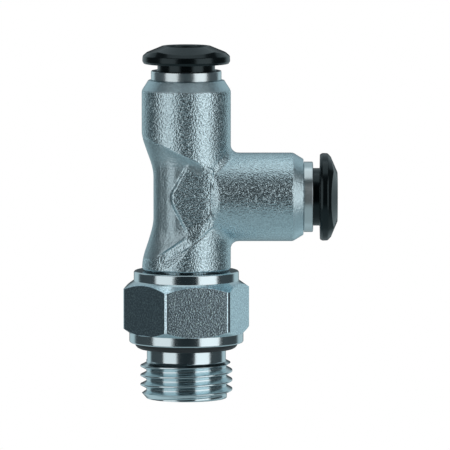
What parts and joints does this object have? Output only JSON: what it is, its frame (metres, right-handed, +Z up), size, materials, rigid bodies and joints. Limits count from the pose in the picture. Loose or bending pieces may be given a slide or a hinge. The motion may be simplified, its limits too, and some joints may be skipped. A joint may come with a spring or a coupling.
{
  "type": "swivel side-branch push-in fitting",
  "caption": "All-metal swivel tee push-in fitting: male parallel thread with face-seal O-ring, hexagon, in-line and side tube ports with black release buttons.",
  "frame": {"origin": "centre of the adaptor's flat sealing face, on the thread's axis", "axes": "+Z up the thread's axis towards the top tube port, +X along the side tube port, -Y towards the viewer of the front panel"},
  "size_m": [0.0306, 0.0174, 0.0504],
  "materials": {
    "nickelled_forging": "bright nickel plating over a finely blasted brass forging",
    "nickelled_turned": "bright nickel plating over turned and milled brass",
    "nickelled_ring": "polished nickel plating over turned brass",
    "stainless_spring": "stainless spring steel, pressed and turned",
    "black_acetal": "moulded black acetal, satin",
    "seal_rubber": "nitrile rubber, dark slate grey"
  },
  "bodies": {
    "adaptor": {"hex_adaptor": "nickelled_turned", "face_seal_o_ring": "seal_rubber", "swivel_snap_ring": "stainless_spring"},
    "tee": {"tee_body": "nickelled_forging", "swivel_o_ring": "seal_rubber", "top_guide_ring": "nickelled_ring", "top_seal_backup_ring": "nickelled_ring", "top_tube_seal": "seal_rubber", "side_guide_ring": "nickelled_ring", "side_seal_backup_ring": "nickelled_ring", "side_tube_seal": "seal_rubber"},
    "top_release": {"top_release_button": "black_acetal", "top_grip_collet": "stainless_spring"},
    "side_release": {"side_release_button": "black_acetal", "side_grip_collet": "stainless_spring"}
  },
  "joints": [
    {"name": "tee_swivel", "type": "hinge", "parent": "adaptor", "child": "tee", "pos_m": [0, 0, 0.0104], "axis": [0, 0, 1], "continuous": true},
    {"name": "top_release_press", "type": "slide", "parent": "tee", "child": "top_release", "axis": [0, 0, -1], "range_m": [0, 0.0009], "stiffness_N_per_m": 300},
    {"name": "side_release_press", "type": "slide", "parent": "tee", "child": "side_release", "axis": [-1, 0, 0], "range_m": [0, 0.0009], "stiffness_N_per_m": 300}
  ]
}
